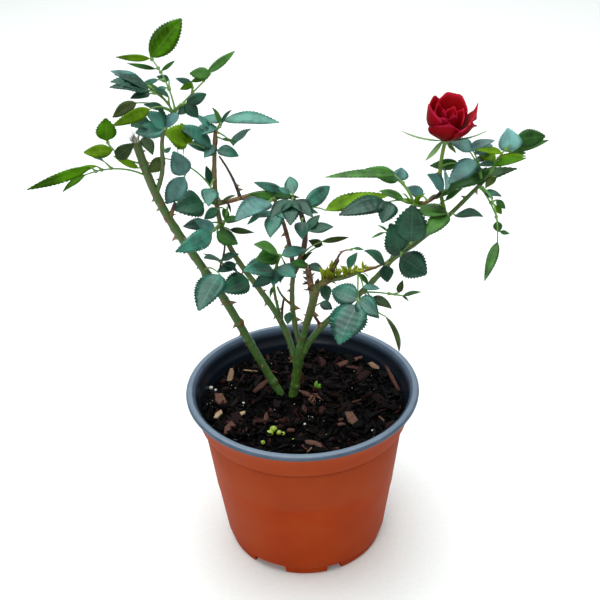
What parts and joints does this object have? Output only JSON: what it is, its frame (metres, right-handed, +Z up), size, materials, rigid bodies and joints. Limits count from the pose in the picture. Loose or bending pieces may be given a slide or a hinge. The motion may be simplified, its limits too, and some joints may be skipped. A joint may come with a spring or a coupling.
{
  "type": "potted miniature rose bush",
  "caption": "Miniature rose bush in a round terracotta-coloured nursery pot: leaning thorny canes, sparse toothed leaves and a crimson bloom on its stem.",
  "frame": {"origin": "centre of the pot's flat underside, on the surface that the pot stands on", "axes": "+Z up; -Y towards the side that the plant is mostly seen from; +X towards the cane that carries the bloom, -X towards the tall leaning cane"},
  "size_m": [0.2674, 0.14, 0.3219],
  "materials": {
    "pot_plastic": "satin thermoformed terracotta skin with a slate grey rim and a black inside",
    "potting_mix": "damp loose bark and peat",
    "green_cane": "smooth waxy green bark, browner with age",
    "rose_petal": "velvety crimson petal",
    "leaf_young": "thin yellow-green young leaf with a slight gloss",
    "leaf_fresh": "mid-green leaf with a slight gloss",
    "leaf_pale": "blue-green leaf with a pale waxy bloom",
    "leaf_deep": "deep green leaf, satin",
    "leaf_olive": "olive ageing leaf, matte"
  },
  "bodies": {
    "root": {"pot": "pot_plastic", "mix": "potting_mix", "cane-back": "green_cane", "cane-centre": "green_cane", "cane-centre-dark": "green_cane", "cane-centre-thorny": "green_cane", "cane-gnarled": "green_cane", "cane-gnarled-arm": "green_cane", "cane-left": "green_cane", "cane-main": "green_cane", "cane-right": "green_cane", "cane-right-upper": "green_cane", "flower-stem": "green_cane", "shoot-centre": "green_cane", "shoot-inner": "green_cane", "shoot-left-top": "green_cane", "bloom": "rose_petal", "foliage-back-left": "leaf_pale", "foliage-back-right": "leaf_pale", "foliage-back-top": "leaf_pale", "foliage-big-five": "leaf_deep", "foliage-bloom-leaf": "leaf_pale", "foliage-branch-left": "leaf_olive", "foliage-centre-large": "leaf_pale", "foliage-centre-mid": "leaf_fresh", "foliage-centre-top": "leaf_pale", "foliage-dark-centre": "leaf_deep", "foliage-dark-left": "leaf_deep", "foliage-droop": "leaf_fresh", "foliage-far-left": "leaf_young", "foliage-far-lower": "leaf_deep", "foliage-far-upper": "leaf_fresh", "foliage-front-centre": "leaf_pale", "foliage-front-dark": "leaf_olive", "foliage-front-left": "leaf_pale", "foliage-hanging": "leaf_pale", "foliage-inner-right": "leaf_pale", "foliage-inner-top": "leaf_fresh", "foliage-left-high": "leaf_deep", "foliage-left-mid": "leaf_young", "foliage-long": "leaf_young", "foliage-long-right": "leaf_fresh", "foliage-pair-left": "leaf_pale", "foliage-right-centre": "leaf_pale", "foliage-right-inner": "leaf_pale", "foliage-right-low": "leaf_deep", "foliage-right-most": "leaf_fresh", "foliage-right-node": "leaf_fresh", "foliage-right-top": "leaf_fresh", "foliage-rosette": "leaf_pale", "foliage-rosette-right": "leaf_olive", "foliage-strap": "leaf_olive", "foliage-thin-twig": "leaf_fresh", "foliage-thorny-left": "leaf_pale", "foliage-thorny-side": "leaf_pale", "foliage-top": "leaf_young", "foliage-under-bloom": "leaf_pale", "foliage-yellow-mid": "leaf_young", "foliage-yellow-right": "leaf_young", "foliage-young-left": "leaf_young"}
  },
  "joints": []
}
